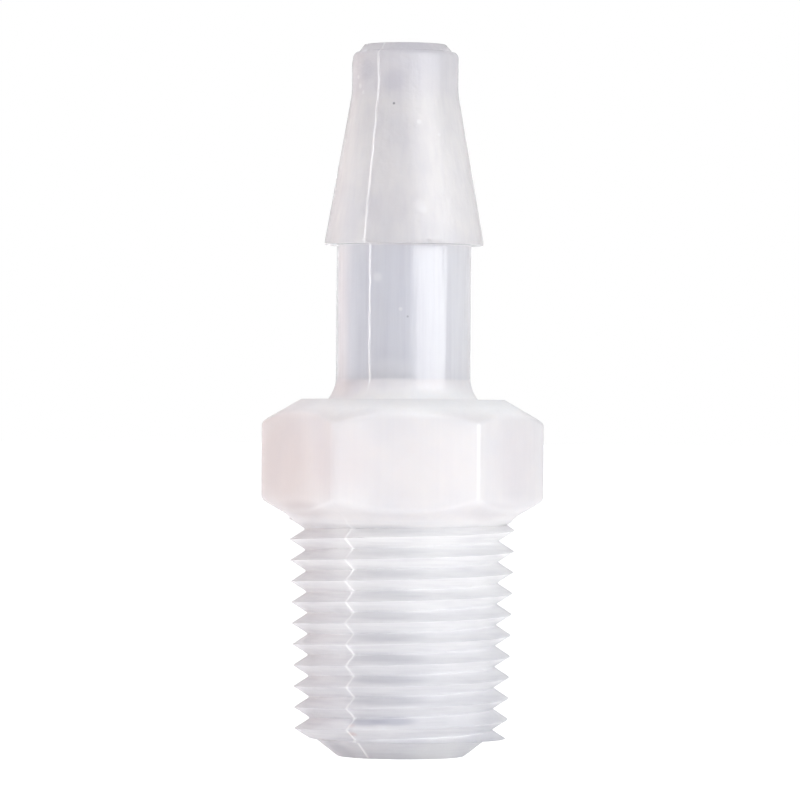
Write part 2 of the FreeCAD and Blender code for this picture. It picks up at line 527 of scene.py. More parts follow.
def grown_mesh(grower: bpy.types.Object, tree: Tree, values: dict[str, Any]) -> bpy.types.Mesh:
    """Run a Geometry Nodes tree on an object and keep only the plain mesh that it makes.

    Args:
        grower: The object that the tree starts from, which is removed afterwards.
        tree: The tree.
        values: A value for each of the tree's named inputs.

    Returns:
        The plain mesh.
    """
    modifier = grower.modifiers.new(tree.name, "NODES")
    modifier.node_group = tree
    for item in tree.interface.items_tree:
        if item.in_out == "INPUT" and item.name in values:
            modifier[item.identifier] = values[item.name]
    graph = bpy.context.evaluated_depsgraph_get()
    mesh = bpy.data.meshes.new_from_object(grower.evaluated_get(graph))
    bpy.data.objects.remove(grower)
    return mesh


@dataclass(frozen=True)
class WrenchHex:
    """The wrench hex: chamfered like a nut above and below, with rounded upright corners."""

    across_flats: float = 11.11
    bottom: float = 10.8
    top: float = 16.0
    corner_radius: float = 0.5
    crisp_corner_radius: float = 0.2
    crisp_corner_bearing: float = 300.0
    chamfer_angle: float = 30.0
    top_land_radius: float = 4.575
    bottom_land_radius: float = 5.18
    edge_rounding: float = 0.42
    flat_rows: int = 12
    underside_rows: int = 3
    lower_chamfer_shares: tuple[float, ...] = (0.25, 0.5)
    upper_chamfer_shares: tuple[float, ...] = (0.5, 0.75)
    edge_offsets: tuple[float, ...] = (-0.18, -0.1, -0.03, 0.03, 0.1, 0.18)

    def prism_radius(self, bearings: np.ndarray) -> np.ndarray:
        """Work out the radius of the plain hex bar.

        Args:
            bearings: The columns' bearings in degrees.

        Returns:
            The bar's radius at each column.
        """
        half_sector = 30.0
        off_flat = np.radians((bearings % (2 * half_sector)) - half_sector)
        flat = self.across_flats / 2 / np.cos(off_flat)
        off_crisp = np.radians(bearings - self.crisp_corner_bearing)
        at_crisp = np.cos(off_crisp) > math.cos(math.radians(half_sector))
        rounding = np.where(at_crisp, self.crisp_corner_radius, self.corner_radius)
        centre = (self.across_flats / 2 - rounding) / math.cos(math.radians(half_sector))
        off_corner = math.radians(half_sector) - np.abs(off_flat)
        inside = np.maximum(rounding ** 2 - (centre * np.sin(off_corner)) ** 2, 0)
        corner = centre * np.cos(off_corner) + np.sqrt(inside)
        reach = np.arctan2(rounding / 2, centre + rounding * math.cos(math.radians(half_sector)))
        return np.where(off_corner < reach, corner, flat)

    def rings(self, mould: Mould, underside: Underside, rim: np.ndarray) -> list[np.ndarray]:
        """Make the rings from the thread's upper rim to the hex's top face.

        Args:
            mould: The columns that the rings follow.
            underside: The wall between the thread and the hex.
            rim: The thread's upper rim, in metres.

        Returns:
            The rings, from below upwards.
        """
        slope = math.tan(math.radians(self.chamfer_angle))
        prism = self.prism_radius(mould.bearings()[:-1])
        rim_radius = np.hypot(rim[:, 0], rim[:, 1]) / MM
        lower_edge = self.bottom + (prism - self.bottom_land_radius) * slope
        upper_edge = self.top - (prism - self.top_land_radius) * slope

        rings = [rim]
        for radius in np.linspace(underside.foot_radius, self.bottom_land_radius, self.underside_rows):
            reached = np.maximum(rim_radius, radius)
            rings.append(mould.ring(reached, underside.height(reached)))
        heights = [self.bottom + (lower_edge - self.bottom) * share for share in self.lower_chamfer_shares]
        heights += [np.maximum(lower_edge + offset, heights[-1]) for offset in self.edge_offsets]
        first = lower_edge + self.edge_offsets[-1]
        last = upper_edge - self.edge_offsets[-1]
        heights += [first + (last - first) * row / self.flat_rows for row in range(1, self.flat_rows + 1)]
        heights += [upper_edge - offset for offset in reversed(self.edge_offsets[:-1])]
        heights += [upper_edge + (self.top - upper_edge) * share for share in self.upper_chamfer_shares]
        for height in heights:
            lower_cone = self.bottom_land_radius + (height - self.bottom) / slope
            upper_cone = self.top_land_radius + (self.top - height) / slope
            radius = smooth_least(prism, lower_cone, self.edge_rounding)
            radius = smooth_least(radius, upper_cone, self.edge_rounding)
            rings.append(mould.ring(radius, height))
        rings.append(mould.ring(self.top_land_radius, self.top))
        return rings


@dataclass(frozen=True)
class HoseBarb:
    """The flared neck and the hose barb, turned shapes with the fin of the parting plane on them."""

    foot: float = 16.0
    neck_radius: float = 3.025
    neck_top: float = 22.92
    flare_width: float = 0.34
    flare_height: float = 0.95
    barb_radius: float = 3.56
    barb_land: float = 0.18
    cone_length: float = 6.62
    tip_radius: float = 2.39
    tip_top: float = 31.6
    lead_radius: float = 2.11
    end_radius: float = 1.83
    end_height: float = 31.93
    bore_radius: float = 1.5
    mouth_depth: float = 1.0
    shoulder_rounding: float = 0.07
    barb_edge_rounding: float = 0.04
    cone_foot_rounding: float = 0.5
    cone_top_rounding: float = 3.0
    tip_edge_rounding: float = 0.27
    end_edge_rounding: float = 0.06
    mouth_rounding: float = 0.05
    fin_start: float = 0.3
    longest_run: float = 0.32
    flare_steps: int = 8

    def outline(self) -> Outline:
        """Draw the half outline from the hex's top face to the bore's mouth.

        Returns:
            The outline's points, radius and height.
        """
        cone_bottom = self.neck_top + self.barb_land
        turned_corners = [
            (self.neck_radius, self.foot + self.flare_height, 0.0),
            (self.neck_radius, self.neck_top, self.shoulder_rounding),
            (self.barb_radius, self.neck_top, self.barb_edge_rounding),
            (self.barb_radius, cone_bottom, self.cone_foot_rounding),
            (self.tip_radius, cone_bottom + self.cone_length, self.cone_top_rounding),
            (self.tip_radius, self.tip_top, self.tip_edge_rounding),
            (self.lead_radius, self.tip_top, 0.0),
            (self.end_radius, self.end_height, self.end_edge_rounding),
            (self.bore_radius, self.end_height, self.mouth_rounding),
            (self.bore_radius, self.end_height - self.mouth_depth, 0.0),
        ]
        return divided_outline(self.flare() + rounded_outline(turned_corners)[1:], self.longest_run)

    def flare(self) -> Outline:
        """Draw the hollow curve from the hex's top face up to the straight of the neck.

        Returns:
            The curve's points, with the neck's first straight point as the last.
        """
        points: Outline = []
        for step in range(self.flare_steps + 1):
            share = step / self.flare_steps
            radius = self.neck_radius + self.flare_width * (1 - share) ** 2
            points.append((radius, self.foot + self.flare_height * share))
        return points

    def rings(self, mould: Mould) -> list[np.ndarray]:
        """Return the rings from the neck's flare to the bore's mouth."""
        outline = self.outline()
        return [mould.ring(radius, height, self.fin_share(radius, height)) for radius, height in outline]

    def fin_share(self, radius: float, height: float) -> float:
        """Return how much of the fin stands at a place: none at the hex, the end face and the bore."""
        grown = min(max((height - self.foot - self.fin_start) / self.flare_height, 0.0), 1.0)
        return grown if radius > self.end_radius and height < self.end_height else 0.0


@dataclass(frozen=True)
class BoreAndNose:
    """The stepped bore, seen at its two mouths, and the lead-in nose under the thread."""

    barb_bore_radius: float = 1.5
    barb_mouth: float = 31.93
    step_top: float = 12.27
    step_bottom: float = 12.0
    thread_bore_radius: float = 1.95
    nose_end_radius: float = 2.85
    nose_top_radius: float = 3.875
    nose_height: float = 0.8
    mouth_depth: float = 1.0
    mouth_rounding: float = 0.08
    nose_rounding: float = 0.22
    longest_run: float = 1.5
    nose_run: float = 0.2

    def rings(self, mould: Mould, rim: np.ndarray) -> list[np.ndarray]:
        """Make the rings down the bore, across the end face and up the nose.

        Args:
            mould: The columns that the rings follow.
            rim: The thread's lower rim, in metres.

        Returns:
            The rings, from the top of the bore to the rim.
        """
        bore = divided_outline([
            (self.barb_bore_radius, self.barb_mouth - self.mouth_depth),
            (self.barb_bore_radius, self.step_top),
            (self.thread_bore_radius, self.step_bottom),
            (self.thread_bore_radius, self.mouth_depth),
        ], self.longest_run)
        nose = divided_outline(rounded_outline([
            (self.thread_bore_radius, self.mouth_depth, 0.0),
            (self.thread_bore_radius, 0.0, self.mouth_rounding),
            (self.nose_end_radius, 0.0, self.nose_rounding),
            (self.nose_top_radius, self.nose_height, 0.0),
        ]), self.nose_run)
        rings = [mould.ring(radius, height) for radius, height in bore[1:]]
        rings += [mould.ring(radius, height, self.fin_share(radius)) for radius, height in nose[1:]]
        return [*rings, rim]

    def fin_share(self, radius: float) -> float:
        """Return how much of the fin stands at a radius: all of it on the nose's cone."""
        return 1.0 if radius > self.nose_end_radius else 0.0


@dataclass(frozen=True)
class Dent:
    """A knock in the skin: pushed in at a place, with a ragged floor."""

    bearing: float
    height: float
    radius: float
    reach: float
    depth: float
    raggedness: float
    grit: float = 0.12

    def centre(self) -> Vector:
        """Return the dent's centre in metres."""
        turned = math.radians(self.bearing)
        return Vector((self.radius * math.cos(turned), self.radius * math.sin(turned), self.height)) * MM

    def press(self, body: bmesh.types.BMesh) -> None:
        """Push the mesh's points in around the dent's centre.

        Args:
            body: The mesh to change.
        """
        centre = self.centre()
        inward = -Vector((centre.x, centre.y, 0)).normalized()
        for vertex in body.verts:
            away = (vertex.co - centre).length / (self.reach * MM)
            if away < 1:
                rough = noise.noise(vertex.co / (self.grit * MM)) * self.raggedness
                vertex.co += inward * self.depth * MM * (1 - away ** 2) ** 2 * (1 + rough)


@dataclass(frozen=True)
class Spot:
    """A mark in or on the plastic, such as a speck of burnt resin, a pale bruise or a soft cloud, or a patch
    of painted shade or painted light.

    The bearing, height and radius are its centre's. It is full up to its core, a share of its size,
    and fades out at its size. One with a high flatness is that much lower than it is wide.
    """

    bearing: float
    height: float
    radius: float
    size: float
    colour: str
    strength: float
    flatness: float = 1.0
    core: float = 0.3

    def centre(self) -> Vector:
        """Return the spot's centre in metres."""
        turned = math.radians(self.bearing)
        return Vector((self.radius * math.cos(turned), self.radius * math.sin(turned), self.height)) * MM


@dataclass(frozen=True)
class GroovePaintedShade:
    """Painted shade in the front of the thread's grooves: a dark flat patch on each turn, fainter upwards.
    """

    turns: int = 9
    bearing: float = 259.0
    lowest: float = 1.72
    radius: float = 4.2
    size: float = 2.4
    colour: str = "#a0a1ad"
    strength: float = 0.42
    fading: float = 0.03
    flatness: float = 8.0

    def spots(self, pitch: float) -> list[Spot]:
        """Make the patches of painted shade.

        Args:
            pitch: The thread's pitch, by which each patch stands above the last one.

        Returns:
            A flat spot for each turn, from below upwards.
        """
        return [
            Spot(self.bearing, self.lowest + pitch * turn, self.radius, self.size, self.colour,
                 self.strength - self.fading * turn, flatness=self.flatness)
            for turn in range(1, self.turns + 1)
        ]


@dataclass(frozen=True)
class Look:
    """How the plastic looks in one region.

    All but the colour run from 0 to 1: the share of light that passes, how much of the rest
    scatters under the skin, the skin's shine, the roughness under that, how uneven the skin is,
    how white the parting fin shows on it, and how much the clouds and the flow lines show.
    """

    colour: str
    clearness: float
    milkiness: float = 1.0
    shine: float = 0.15
    roughness: float = 0.45
    unevenness: float = 0.3
    fin: float = 1.0
    clouds: float = 0.3
    streaks: float = 0.25


NOSE = Look("#f0eff2", clearness=0.55, milkiness=0.0, shine=0.3, streaks=0.3)
LOW_THREAD = Look("#fbfbfd", clearness=0.38, milkiness=0.0, shine=0.25, roughness=0.5, clouds=0.2,
                  streaks=0.3)
# The thread's upper turns are whiter and less clear: painted light, for the light that the hex scatters down
# into them
HIGH_THREAD = replace(LOW_THREAD, colour="#fefefe", clearness=0.32, fin=0.9, streaks=0.25)
HEX_FLAT = Look("#efecec", clearness=0.35, shine=0.5, fin=0.15, clouds=0.35, streaks=0.06)
LOWER_CHAMFER = replace(HEX_FLAT, shine=0.1)
# The upper chamfer's whiter colour is painted light on the up-facing chamfer, which is also nearly opaque
UPPER_CHAMFER = replace(HEX_FLAT, colour="#fffdfd", clearness=0.05, shine=0.15, clouds=0.2)
FLARE = Look("#f1eeef", clearness=0.4, fin=0.8, clouds=0.35, streaks=0.1)
NECK = Look("#e7e8ed", clearness=0.8, shine=0.75, roughness=0.38, unevenness=0.15, fin=0.8, streaks=0.35)
BARB = Look("#f1efee", clearness=0.75, unevenness=1.0, fin=0.75, clouds=0.6)
TIP = replace(BARB, colour="#ebe9eb", shine=0.2)


@dataclass(frozen=True)
class NaturalPolypropylene:
    """Uncoloured polypropylene, injection moulded: milky, see-through where the wall is thin, satin gloss.

    The looks stand at heights up the part, and the plastic runs evenly from one to the next.
    """

    looks: tuple[tuple[float, Look], ...] = (
        (0.0, NOSE),
        (0.9, LOW_THREAD),
        (10.2, HIGH_THREAD),
        (10.8, LOWER_CHAMFER),
        (11.45, LOWER_CHAMFER),
        (11.8, HEX_FLAT),
        (15.1, HEX_FLAT),
        (15.6, UPPER_CHAMFER),
        (16.1, UPPER_CHAMFER),
        (16.83, FLARE),
        (16.95, NECK),
        (22.9, NECK),
        (22.95, BARB),
        (29.3, BARB),
        (29.9, TIP),
        (31.93, TIP),
    )
    fin_white: str = "#ffffff"
    cloud_size: float = 2.6
    cloud_colour: str = "#d3d4dd"
    streak_width: float = 0.22
    streak_length: float = 5.0
    streak_colour: str = "#c9c7d2"
    ring_width: float = 0.13
    ring_length: float = 2.2
    mottle_size: float = 0.6
    grain_size: float = 0.2
    relief: float = 0.05
    roughness_spread: float = 0.03
    skin_roughness: float = 0.17
    ior: float = 1.49
    scatter_length: float = 3.0
    scatter_colour: tuple[float, float, float] = (1.0, 0.95, 0.9)
    tint_from: float = 0.4
    tint_full: float = 0.75
    grain_low: float = 0.3
    grain_high: float = 0.7
    soft_detail: float = 2.0
    fine_detail: float = 3.0

    def material(self, mould: Mould, spots: list[Spot]) -> bpy.types.Material:
        """Build the material.

        Args:
            mould: The parting plane, where the fin shows as a white line.
            spots: The small marks on the surface, and the patches of painted shade and painted light.

        Returns:
            The finished material.
        """
        material = bpy.data.materials.new("natural_polypropylene_as_moulded")
        material.use_nodes = True
        tree = material.node_tree
        tree.nodes.clear()
        place = add_node(tree, "ShaderNodeTexCoord").outputs["Object"]
        height = add_node(tree, "ShaderNodeSeparateXYZ", {0: place}).outputs["Z"]

        # A thin milky wall sends back the blue of white light and lets the red through, so it looks cool,
        # and the thick hex looks warm
        looks = [look for _, look in self.looks]
        body = self.ramp(tree, height, [linear_colour(look.colour) for look in looks])
        passing = add_node(tree, "ShaderNodeSeparateColor", {0: self.ramp(tree, height, [
            (look.clearness, look.milkiness, look.shine, 1.0) for look in looks])})
        surface = add_node(tree, "ShaderNodeSeparateColor", {0: self.ramp(tree, height, [
            (look.unevenness, look.fin, look.roughness, 1.0) for look in looks])})
        marbling = add_node(tree, "ShaderNodeSeparateColor", {0: self.ramp(tree, height, [
            (look.clouds, look.streaks, 0.0, 1.0) for look in looks])})

        # Clouds in the melt, and its flow lines: along the axis above the thread and round it in the thread
        cloud = self.pattern(tree, place, self.cloud_size, self.cloud_size, self.soft_detail)
        along = self.pattern(tree, place, self.streak_width, self.streak_length, self.fine_detail)
        around = self.pattern(tree, place, self.ring_length, self.ring_width, self.fine_detail)
        in_thread = add_node(tree, "ShaderNodeMath", {0: height, 1: mould.thread_top * MM},
                             operation="LESS_THAN")
        streak = add_node(tree, "ShaderNodeMix", {"Factor": in_thread, "A": along, "B": around})
        clouded = self.tinted(tree, body, cloud, self.cloud_colour, marbling.outputs["Red"])
        streaked = self.tinted(tree, clouded, streak, self.streak_colour, marbling.outputs["Green"])
        # The fin shows as a white line: partly the thin plastic's own whiteness, partly a painted highlight
        # along its ridge
        fin = add_node(tree, "ShaderNodeMath", {0: self.fin_mask(tree, place, height, mould),
                       1: surface.outputs["Green"]}, operation="MULTIPLY")
        white = linear_colour(self.fin_white)
        colour = add_node(tree, "ShaderNodeMix", {"Factor": fin, "A": streaked, "B": white},
                          data_type="RGBA").outputs["Result"]
        for spot in spots:
            colour = self.marked(tree, colour, place, spot)

        # The skin is mottled where the mould was worn, over a fine grain drawn no finer than shows
        mottle = self.pattern(tree, place, self.mottle_size, self.mottle_size, self.fine_detail)
        grain = self.pattern(tree, place, self.grain_size, self.grain_size, self.soft_detail)
        lines = add_node(tree, "ShaderNodeMath", {0: streak, 1: marbling.outputs["Green"]},
                         operation="MULTIPLY")
        waves = add_node(tree, "ShaderNodeMath", {0: mottle, 1: surface.outputs["Red"], 2: lines},
                         operation="MULTIPLY_ADD")
        bump = add_node(tree, "ShaderNodeBump", {"Height": waves, "Strength": 1.0,
                        "Distance": self.relief * MM}).outputs["Normal"]
        spread = add_node(tree, "ShaderNodeMapRange", {
            "Value": grain, "From Min": self.grain_low, "From Max": self.grain_high,
            "To Min": -self.roughness_spread, "To Max": self.roughness_spread})
        rough = add_node(tree, "ShaderNodeMath", {0: surface.outputs["Blue"], 1: spread}, operation="ADD")
        clear = add_node(tree, "ShaderNodeMapRange", {"Value": fin, "To Min": passing.outputs["Red"],
                         "To Max": 0.0})
        shader = add_node(tree, "ShaderNodeBsdfPrincipled", {
            "Base Color": colour,
            "Roughness": rough,
            "IOR": self.ior,
            "Normal": bump,
            "Subsurface Weight": self.outer_side(tree, passing.outputs["Green"]),
            "Subsurface Radius": self.scatter_colour,
            "Subsurface Scale": self.scatter_length * MM,
            "Transmission Weight": clear,
            "Coat Weight": passing.outputs["Blue"],
            "Coat Roughness": self.skin_roughness,
            "Coat IOR": self.ior,
            "Coat Normal": bump,
        })
        add_node(tree, "ShaderNodeOutputMaterial", {"Surface": shader})
        return material

    @staticmethod
    def pattern(tree: Tree, place: Source, across: float, upright: float, detail: float) -> Source:
        """Add a soft random pattern at a real size.

        Args:
            tree: The material's tree.
            place: The place on the surface.
            across: The size of its patches across the axis, in millimetres.
            upright: Their size along the axis.
            detail: How many finer patterns lie over it.

        Returns:
            The pattern, about 0.5 on average.
        """
        scale = (1 / (across * MM), 1 / (across * MM), 1 / (upright * MM))
        stretched = add_node(tree, "ShaderNodeMapping", {"Vector": place, "Scale": scale})
        return add_node(tree, "ShaderNodeTexNoise", {"Vector": stretched, "Scale": 1.0,
                        "Detail": detail}).outputs["Fac"]

    def tinted(self, tree: Tree, colour: Source, pattern: Source, tint: str, strength: Source) -> Source:
        """Tint a colour where a pattern is high.

        Args:
            tree: The material's tree.
            colour: The colour to tint.
            pattern: The pattern.
            tint: The tint as "#rrggbb".
            strength: The tint's share where the pattern is highest.

        Returns:
            The tinted colour.
        """
        share = add_node(tree, "ShaderNodeMapRange", {"Value": pattern, "From Min": self.tint_from,
                         "From Max": self.tint_full, "To Max": strength})
        return add_node(tree, "ShaderNodeMix", {"Factor": share, "A": colour, "B": linear_colour(tint)},
                        data_type="RGBA").outputs["Result"]

    @staticmethod
    def marked(tree: Tree, colour: Source, place: Source, spot: Spot) -> Source:
        """Lay one small mark over a colour.

        Args:
            tree: The material's tree.
            colour: The colour under it.
            place: The place on the surface.
            spot: The mark.

        Returns:
            The colour with the mark on it.
        """
        squeeze = Vector((1.0, 1.0, spot.flatness))
        squeezed = add_node(tree, "ShaderNodeVectorMath", {0: place, 1: squeeze}, operation="MULTIPLY")
        away = add_node(tree, "ShaderNodeVectorMath", {0: squeezed, 1: spot.centre() * squeeze},
                        operation="DISTANCE").outputs["Value"]
        mask = add_node(tree, "ShaderNodeMapRange", {"Value": away, "From Min": spot.size * spot.core * MM,
                        "From Max": spot.size * MM, "To Min": spot.strength, "To Max": 0.0},
                        interpolation_type="SMOOTHSTEP")
        stain = linear_colour(spot.colour)
        return add_node(tree, "ShaderNodeMix", {"Factor": mask, "A": colour, "B": stain},
                        data_type="RGBA").outputs["Result"]

    def fin_mask(self, tree: Tree, place: Source, height: Source, mould: Mould) -> Source:
        """Mask the fin at the parting plane, thin plastic that scatters more and shows as a white line,
        partly as a painted highlight along its ridge.

        Args:
            tree: The material's tree.
            place: The place on the surface.
            height: The height on the surface.
            mould: The parting plane.

        Returns:
            Up to one on the fin, uneven along it, and zero off it.
        """
        turned = math.radians(mould.parting_bearing)
        across = (math.sin(turned), -math.cos(turned), 0.0)
        beside = add_node(tree, "ShaderNodeVectorMath", {0: place, 1: across},
                          operation="DOT_PRODUCT").outputs["Value"]
        wander = add_node(tree, "ShaderNodeTexNoise", {"W": height, "Scale": 1 / (mould.wander_length * MM),
                          "Detail": self.soft_detail}, noise_dimensions="1D").outputs["Fac"]
        moved = add_node(tree, "ShaderNodeMapRange", {"Value": wander, "To Min": -mould.wander * MM,
                         "To Max": mould.wander * MM})
        strayed = add_node(tree, "ShaderNodeMath", {0: beside, 1: moved}, operation="ADD")
        off_line = add_node(tree, "ShaderNodeMath", {0: strayed}, operation="ABSOLUTE")
        narrowing = add_node(tree, "ShaderNodeMapRange", {
            "Value": height, "From Min": mould.thread_top * MM,
            "From Max": (mould.thread_top + mould.mark_narrowing) * MM,
            "To Min": 1 / mould.mark_widening, "To Max": 1.0})
        off_mark = add_node(tree, "ShaderNodeMath", {0: off_line, 1: narrowing}, operation="MULTIPLY")
        white = add_node(tree, "ShaderNodeMapRange", {"Value": wander, "From Min": mould.faint_wander,
                         "From Max": mould.white_wander, "To Min": mould.faint_mark, "To Max": 1.0})
        return add_node(tree, "ShaderNodeMapRange", {
            "Value": off_mark, "From Min": mould.fin_half_width * mould.mark_core * MM,
            "From Max": mould.fin_half_width * MM, "To Min": white, "To Max": 0.0})

    def ramp(self, tree: Tree, height: Source, colours: list[tuple[float, ...]]) -> Source:
        """Run from colour to colour up the part, at the heights of the looks.

        Args:
            tree: The material's tree.
            height: The height on the surface.
            colours: A linear colour for each look.

        Returns:
            The colour at the height.
        """
        levels = [level for level, _ in self.looks]
        length = levels[-1]
        share = add_node(tree, "ShaderNodeMath", {0: height, 1: length * MM}, operation="DIVIDE")
        ramp = add_node(tree, "ShaderNodeValToRGB", {"Fac": share})
        stops = ramp.color_ramp.elements
        while len(stops) < len(levels):
            stops.new(0.5)
        for stop, level, colour in zip(stops, levels, colours):
            stop.position = level / length
            stop.color = colour
        return ramp.outputs["Color"]

    @staticmethod
    def outer_side(tree: Tree, milky: Source) -> Source:
        """Let light scatter in the plastic only where it meets the skin from outside.

        Args:
            tree: The material's tree.
            milky: How much the plastic scatters.

        Returns:
            That on the skin's outer side, and zero on its inner side.
        """
        inner = add_node(tree, "ShaderNodeNewGeometry").outputs["Backfacing"]
        return add_node(tree, "ShaderNodeMapRange", {"Value": inner, "To Min": milky, "To Max": 0.0})


@dataclass
class MouldedConnector:
    """The whole connector as one closed skin: nose, thread, hex, neck, barb and bore."""

    mould: Mould = field(default_factory=Mould)
    underside: Underside = field(default_factory=Underside)
    thread: TaperThread = field(default_factory=TaperThread)
    wrench_hex: WrenchHex = field(default_factory=WrenchHex)
    barb: HoseBarb = field(default_factory=HoseBarb)
    bore_and_nose: BoreAndNose = field(default_factory=BoreAndNose)
    # Painted shade in the front of the thread's grooves
    groove_shade: GroovePaintedShade = field(default_factory=GroovePaintedShade)
    finish: NaturalPolypropylene = field(default_factory=NaturalPolypropylene)
    burnt: str = "#5c5c66"
    pale: str = "#ffffff"
    merge_distance: float = 0.0004
    crease_angle: float = 28.0

    def dents(self) -> list[Dent]:
        """List the knocks that the photographed piece has.

        Returns:
            One at the tip and two on the barb's edge.
        """
        return [
            Dent(bearing=180, height=31.6, radius=2.3, reach=0.55, depth=0.12, raggedness=0.9),
            Dent(bearing=286, height=22.98, radius=3.56, reach=0.16, depth=0.09, raggedness=0.5),
            Dent(bearing=238.2, height=22.98, radius=3.56, reach=0.14, depth=0.1, raggedness=0.5),
        ]

    def spots(self) -> list[Spot]:
        """List the marks that the photographed piece has, and the patches of painted shade and painted
        light.

        Returns:
            The painted shade in the thread's grooves, then all other marks and painted patches.
        """
        # Bearing, height and radius of the centre, then size, colour and strength
        return [
            # Painted shade in the front of the thread's grooves, one patch on each turn
            *self.groove_shade.spots(self.thread.pitch),
            Spot(256.7, 29.16, 2.49, 0.08, self.burnt, 0.9),
            Spot(282.0, 28.35, 2.63, 0.15, self.pale, 0.8),
            Spot(302.2, 27.77, 2.73, 0.12, self.pale, 0.7),
            Spot(280.0, 24.6, 3.29, 0.4, self.pale, 0.4),
            Spot(283.0, 24.4, 3.29, 0.25, self.pale, 0.4),
            # Painted shade: grey patches darken the front and left of the tip's land
            Spot(222.5, 30.7, 2.39, 0.7, "#c2c1cd", 0.4),
            Spot(256.2, 30.2, 2.39, 0.7, "#c2c1cd", 0.35),
            Spot(207.0, 30.4, 2.39, 0.14, self.pale, 0.8),
            Spot(211.0, 30.0, 2.39, 0.16, self.pale, 0.8),
            Spot(217.0, 29.7, 2.39, 0.12, self.pale, 0.8),
            Spot(271.6, 19.67, 3.025, 0.07, self.burnt, 0.5),
            Spot(265.6, 20.0, 3.025, 0.12, self.pale, 0.8),
            Spot(245.4, 21.42, 3.025, 0.3, self.pale, 0.6),
            # Painted shade: a tall grey streak down the neck's left front, where the wall looks dark
            Spot(222.0, 20.2, 3.025, 1.15, "#b9bccb", 0.34, flatness=0.2),
            Spot(258.0, 17.3, 3.025, 1.5, self.pale, 0.45, flatness=2.0),
            Spot(271.0, 8.15, 4.6, 0.06, self.burnt, 0.8),
            Spot(281.8, 7.65, 4.5, 0.06, self.burnt, 0.8),
            Spot(240.0, 1.35, 4.4, 0.35, "#e0b4ac", 0.6),
            # Patches on the hex: pink clouding in the plastic with painted shade on the left face, and
            # painted shade on the front-left corner and the right face
            Spot(198.0, 13.2, 5.7, 3.6, "#dacfcc", 0.5),
            Spot(240.0, 13.4, 6.3, 2.4, "#dfd7d8", 0.4),
            Spot(334.0, 13.4, 5.6, 2.8, "#d9d4d9", 0.4),
            # Painted shade: flat dark bands along the lower edge of the hex's left and right faces
            Spot(213.0, 11.05, 5.9, 2.4, "#cbc1c1", 0.5, flatness=4.0),
            Spot(313.0, 11.05, 5.9, 2.4, "#d3d0d4", 0.4, flatness=4.0),
            # Painted shade on the nose's left side, and painted light on its right side
            Spot(212.0, 0.45, 3.3, 1.1, "#b9b7c2", 0.5),
            Spot(298.0, 0.45, 3.3, 1.8, self.pale, 0.7),
            # Painted shade: two dark flat patches in the front of the lowest groove
            Spot(248.0, 1.7, 4.15, 1.2, "#989bb0", 0.5, flatness=5.0),
            Spot(264.0, 1.76, 4.15, 1.3, "#989bb0", 0.5, flatness=5.0),
        ]

    def build(self) -> bpy.types.Object:
        """Build the connector's skin as one closed mesh and dress it.

        Returns:
            The finished object, which stands for the frame's solid.
        """
        material = self.finish.material(self.mould, self.spots())
        skin = self.thread.grow(self.mould, self.underside, material)
        LOG.info("thread skin: %d faces", len(skin.mesh.polygons))
        rings = self.wrench_hex.rings(self.mould, self.underside, skin.upper_rim)
        rings += self.barb.rings(self.mould)
        rings += self.bore_and_nose.rings(self.mould, skin.lower_rim)
        body = bmesh.new()
        body.from_mesh(skin.mesh)
        self.bridge(body, rings)
        bmesh.ops.remove_doubles(body, verts=body.verts, dist=self.merge_distance * MM)
        bmesh.ops.dissolve_degenerate(body, edges=body.edges, dist=self.merge_distance * MM)
        bmesh.ops.recalc_face_normals(body, faces=body.faces)
        for dent in self.dents():
            dent.press(body)
        open_edges = sum(1 for edge in body.edges if not edge.is_manifold)
        LOG.info("skin: %d faces, %d open edges", len(body.faces), open_edges)
        mesh = bpy.data.meshes.new("moulded_connector")
        body.to_mesh(mesh)
        body.free()
        mesh.materials.clear()
        mesh.materials.append(material)
        mesh.shade_smooth()
        mesh.set_sharp_from_angle(angle=math.radians(self.crease_angle))
        connector = bpy.data.objects.new("moulded_connector", mesh)
        bpy.context.scene.collection.objects.link(connector)
        return connector

    @staticmethod
    def bridge(body: bmesh.types.BMesh, rings: list[np.ndarray]) -> None:
        """Join neighbouring rings with faces.

        Args:
            body: The mesh that gets the faces.
            rings: The rings in order, all with the same number of points.
        """
        rows = [[body.verts.new(point) for point in ring] for ring in rings]
        for lower, upper in zip(rows, rows[1:]):
            for index, vertex in enumerate(lower):
                after = (index + 1) % len(lower)
                body.faces.new((vertex, lower[after], upper[after], upper[index]))


@dataclass(frozen=True)
class Softbox:
    """A soft lamp that faces the part, placed as the camera sees it."""

    name: str
    turn: float
    elevation: float
    distance: float
    width: float
    height: float
    power: float
    lights_matt: bool
    lights_gloss: bool
    colour: str = "#ffffff"


